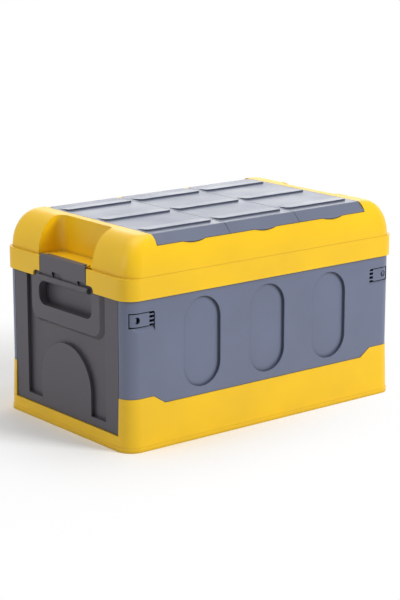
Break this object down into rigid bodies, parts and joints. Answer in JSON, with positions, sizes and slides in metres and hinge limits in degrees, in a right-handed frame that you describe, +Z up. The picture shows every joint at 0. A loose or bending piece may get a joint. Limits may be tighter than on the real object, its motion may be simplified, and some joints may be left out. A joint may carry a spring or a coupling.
{
  "type": "collapsible storage crate",
  "caption": "Lidded folding storage crate with drop-in end walls, hinged top flaps, handle pockets with grip bars, end latches and sprung release tabs.",
  "frame": {"origin": "centre of the footprint, on the floor the crate stands on", "axes": "+X along the crate, +Z up, the front long side faces -Y"},
  "size_m": [0.526, 0.312, 0.3105],
  "materials": {
    "yellow_polypropylene": "satin moulded polypropylene",
    "slate_polypropylene": "satin moulded polypropylene",
    "charcoal_polypropylene": "satin moulded polypropylene",
    "grey_polypropylene": "satin moulded polypropylene",
    "hinge_rod_steel": "drawn steel rod"
  },
  "bodies": {
    "base": {"base_tray": "yellow_polypropylene", "front_wall": "slate_polypropylene", "rear_wall": "slate_polypropylene", "front_wall_hinge_rod": "hinge_rod_steel", "rear_wall_hinge_rod": "hinge_rod_steel", "left_end_hinge_rod": "hinge_rod_steel", "right_end_hinge_rod": "hinge_rod_steel"},
    "left_end_wall": {"left_end_wall": "charcoal_polypropylene", "left_grip_bar": "charcoal_polypropylene"},
    "right_end_wall": {"right_end_wall": "charcoal_polypropylene", "right_grip_bar": "charcoal_polypropylene"},
    "lid": {"lid_frame": "yellow_polypropylene", "left_latch_pin": "hinge_rod_steel", "right_latch_pin": "hinge_rod_steel", "left_flap_pin": "hinge_rod_steel", "middle_flap_pin": "hinge_rod_steel", "right_flap_pin": "hinge_rod_steel"},
    "left_latch": {"left_latch": "charcoal_polypropylene"},
    "right_latch": {"right_latch": "charcoal_polypropylene"},
    "left_flap": {"left_flap": "grey_polypropylene"},
    "middle_flap": {"middle_flap": "grey_polypropylene"},
    "right_flap": {"right_flap": "grey_polypropylene"},
    "front_left_tab": {"front_left_release_tab": "slate_polypropylene"},
    "front_right_tab": {"front_right_release_tab": "slate_polypropylene"},
    "rear_right_tab": {"rear_right_release_tab": "slate_polypropylene"},
    "rear_left_tab": {"rear_left_release_tab": "slate_polypropylene"}
  },
  "joints": [
    {"name": "left_end_wall_fold", "type": "hinge", "parent": "base", "child": "left_end_wall", "pos_m": [-0.2475, 0, 0.0265], "axis": [0, 1, 0], "range_deg": [0, 90]},
    {"name": "right_end_wall_fold", "type": "hinge", "parent": "base", "child": "right_end_wall", "pos_m": [0.2475, 0, 0.0265], "axis": [0, -1, 0], "range_deg": [0, 90]},
    {"name": "lid_lift", "type": "slide", "parent": "base", "child": "lid", "axis": [0, 0, 1], "range_m": [0, 0.15]},
    {"name": "left_latch_swing", "type": "hinge", "parent": "lid", "child": "left_latch", "pos_m": [-0.25, 0, 0.2543], "axis": [0, 1, 0], "range_deg": [0, 150]},
    {"name": "right_latch_swing", "type": "hinge", "parent": "lid", "child": "right_latch", "pos_m": [0.25, 0, 0.2543], "axis": [0, -1, 0], "range_deg": [0, 150]},
    {"name": "left_flap_lift", "type": "hinge", "parent": "lid", "child": "left_flap", "pos_m": [-0.133, 0.124, 0.3043], "axis": [-1, 0, 0], "range_deg": [0, 110]},
    {"name": "middle_flap_lift", "type": "hinge", "parent": "lid", "child": "middle_flap", "pos_m": [0, 0.124, 0.3043], "axis": [-1, 0, 0], "range_deg": [0, 110]},
    {"name": "right_flap_lift", "type": "hinge", "parent": "lid", "child": "right_flap", "pos_m": [0.133, 0.124, 0.3043], "axis": [-1, 0, 0], "range_deg": [0, 110]},
    {"name": "front_left_tab_press", "type": "hinge", "parent": "base", "child": "front_left_tab", "pos_m": [-0.2125, -0.1498, 0.192], "axis": [0, 0, -1], "range_deg": [0, 6], "stiffness_Nm_per_rad": 1},
    {"name": "front_right_tab_press", "type": "hinge", "parent": "base", "child": "front_right_tab", "pos_m": [0.2125, -0.1498, 0.192], "axis": [0, 0, 1], "range_deg": [0, 6], "stiffness_Nm_per_rad": 1},
    {"name": "rear_right_tab_press", "type": "hinge", "parent": "base", "child": "rear_right_tab", "pos_m": [0.2125, 0.1498, 0.192], "axis": [0, 0, -1], "range_deg": [0, 6], "stiffness_Nm_per_rad": 1},
    {"name": "rear_left_tab_press", "type": "hinge", "parent": "base", "child": "rear_left_tab", "pos_m": [-0.2125, 0.1498, 0.192], "axis": [0, 0, 1], "range_deg": [0, 6], "stiffness_Nm_per_rad": 1}
  ]
}
